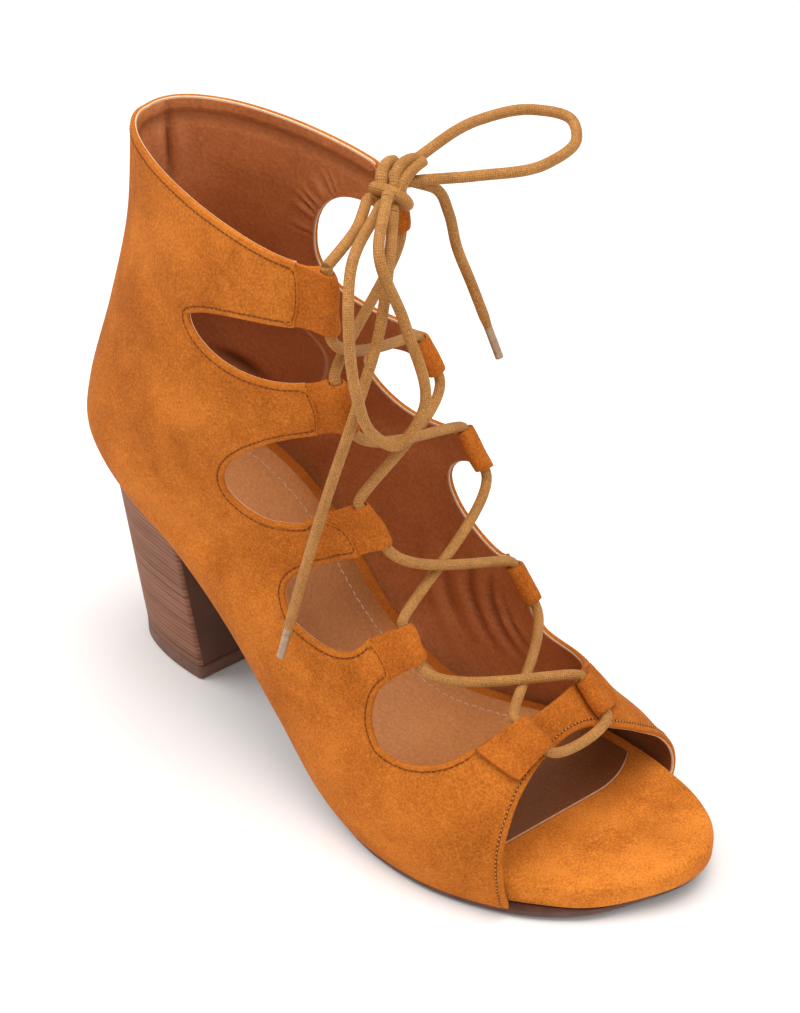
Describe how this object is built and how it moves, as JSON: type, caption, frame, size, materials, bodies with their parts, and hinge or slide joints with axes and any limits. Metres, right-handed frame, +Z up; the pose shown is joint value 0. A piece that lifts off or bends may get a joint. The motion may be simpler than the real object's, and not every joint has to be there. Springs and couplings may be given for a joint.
{
  "type": "open-toe ankle boot",
  "caption": "Open-toe lace-up ankle boot for the right foot: comb-cut suede upper with lace loops, round lace tied in a bow, wrapped footbed, thin sole and stacked-look block heel.",
  "frame": {"origin": "middle of the footprint on the floor, without the bow of the lace", "axes": "+X to the toe, +Y to the inner (medial) side, +Z up"},
  "size_m": [0.229, 0.1137, 0.2046],
  "materials": {
    "suede": "brushed faux suede, tan",
    "loop_suede": "brushed faux suede, tan",
    "footbed_wrap": "suede wrapped over the board",
    "sock_liner": "smooth leatherette, satin",
    "outsole": "moulded, brown",
    "heel_stack": "stacked look, fine lines",
    "heel_lift": "moulded, brown",
    "lace_cord": "round waxed braid"
  },
  "bodies": {
    "root": {"upper": "suede", "footbed": "footbed_wrap", "insole": "sock_liner", "outsole": "outsole", "heel_block": "heel_stack", "heel_top_lift": "heel_lift", "lace_loop_lateral_1": "loop_suede", "lace_loop_medial_1": "loop_suede", "lace_loop_lateral_2": "loop_suede", "lace_loop_medial_2": "loop_suede", "lace_loop_lateral_3": "loop_suede", "lace_loop_medial_3": "loop_suede", "lace_loop_lateral_4": "loop_suede", "lace_loop_medial_4": "loop_suede", "lace_loop_lateral_5": "loop_suede", "lace_loop_medial_5": "loop_suede", "lace_crossing_1": "lace_cord", "lace_crossing_2": "lace_cord", "lace_crossing_3": "lace_cord", "lace_crossing_4": "lace_cord", "lace_toe_bar": "lace_cord", "lace_knot": "lace_cord", "lace_riser_lateral": "lace_cord", "bow_loop_up": "lace_cord", "bow_loop_down": "lace_cord", "lace_end_lateral": "lace_cord", "lace_end_medial": "lace_cord"}
  },
  "joints": []
}
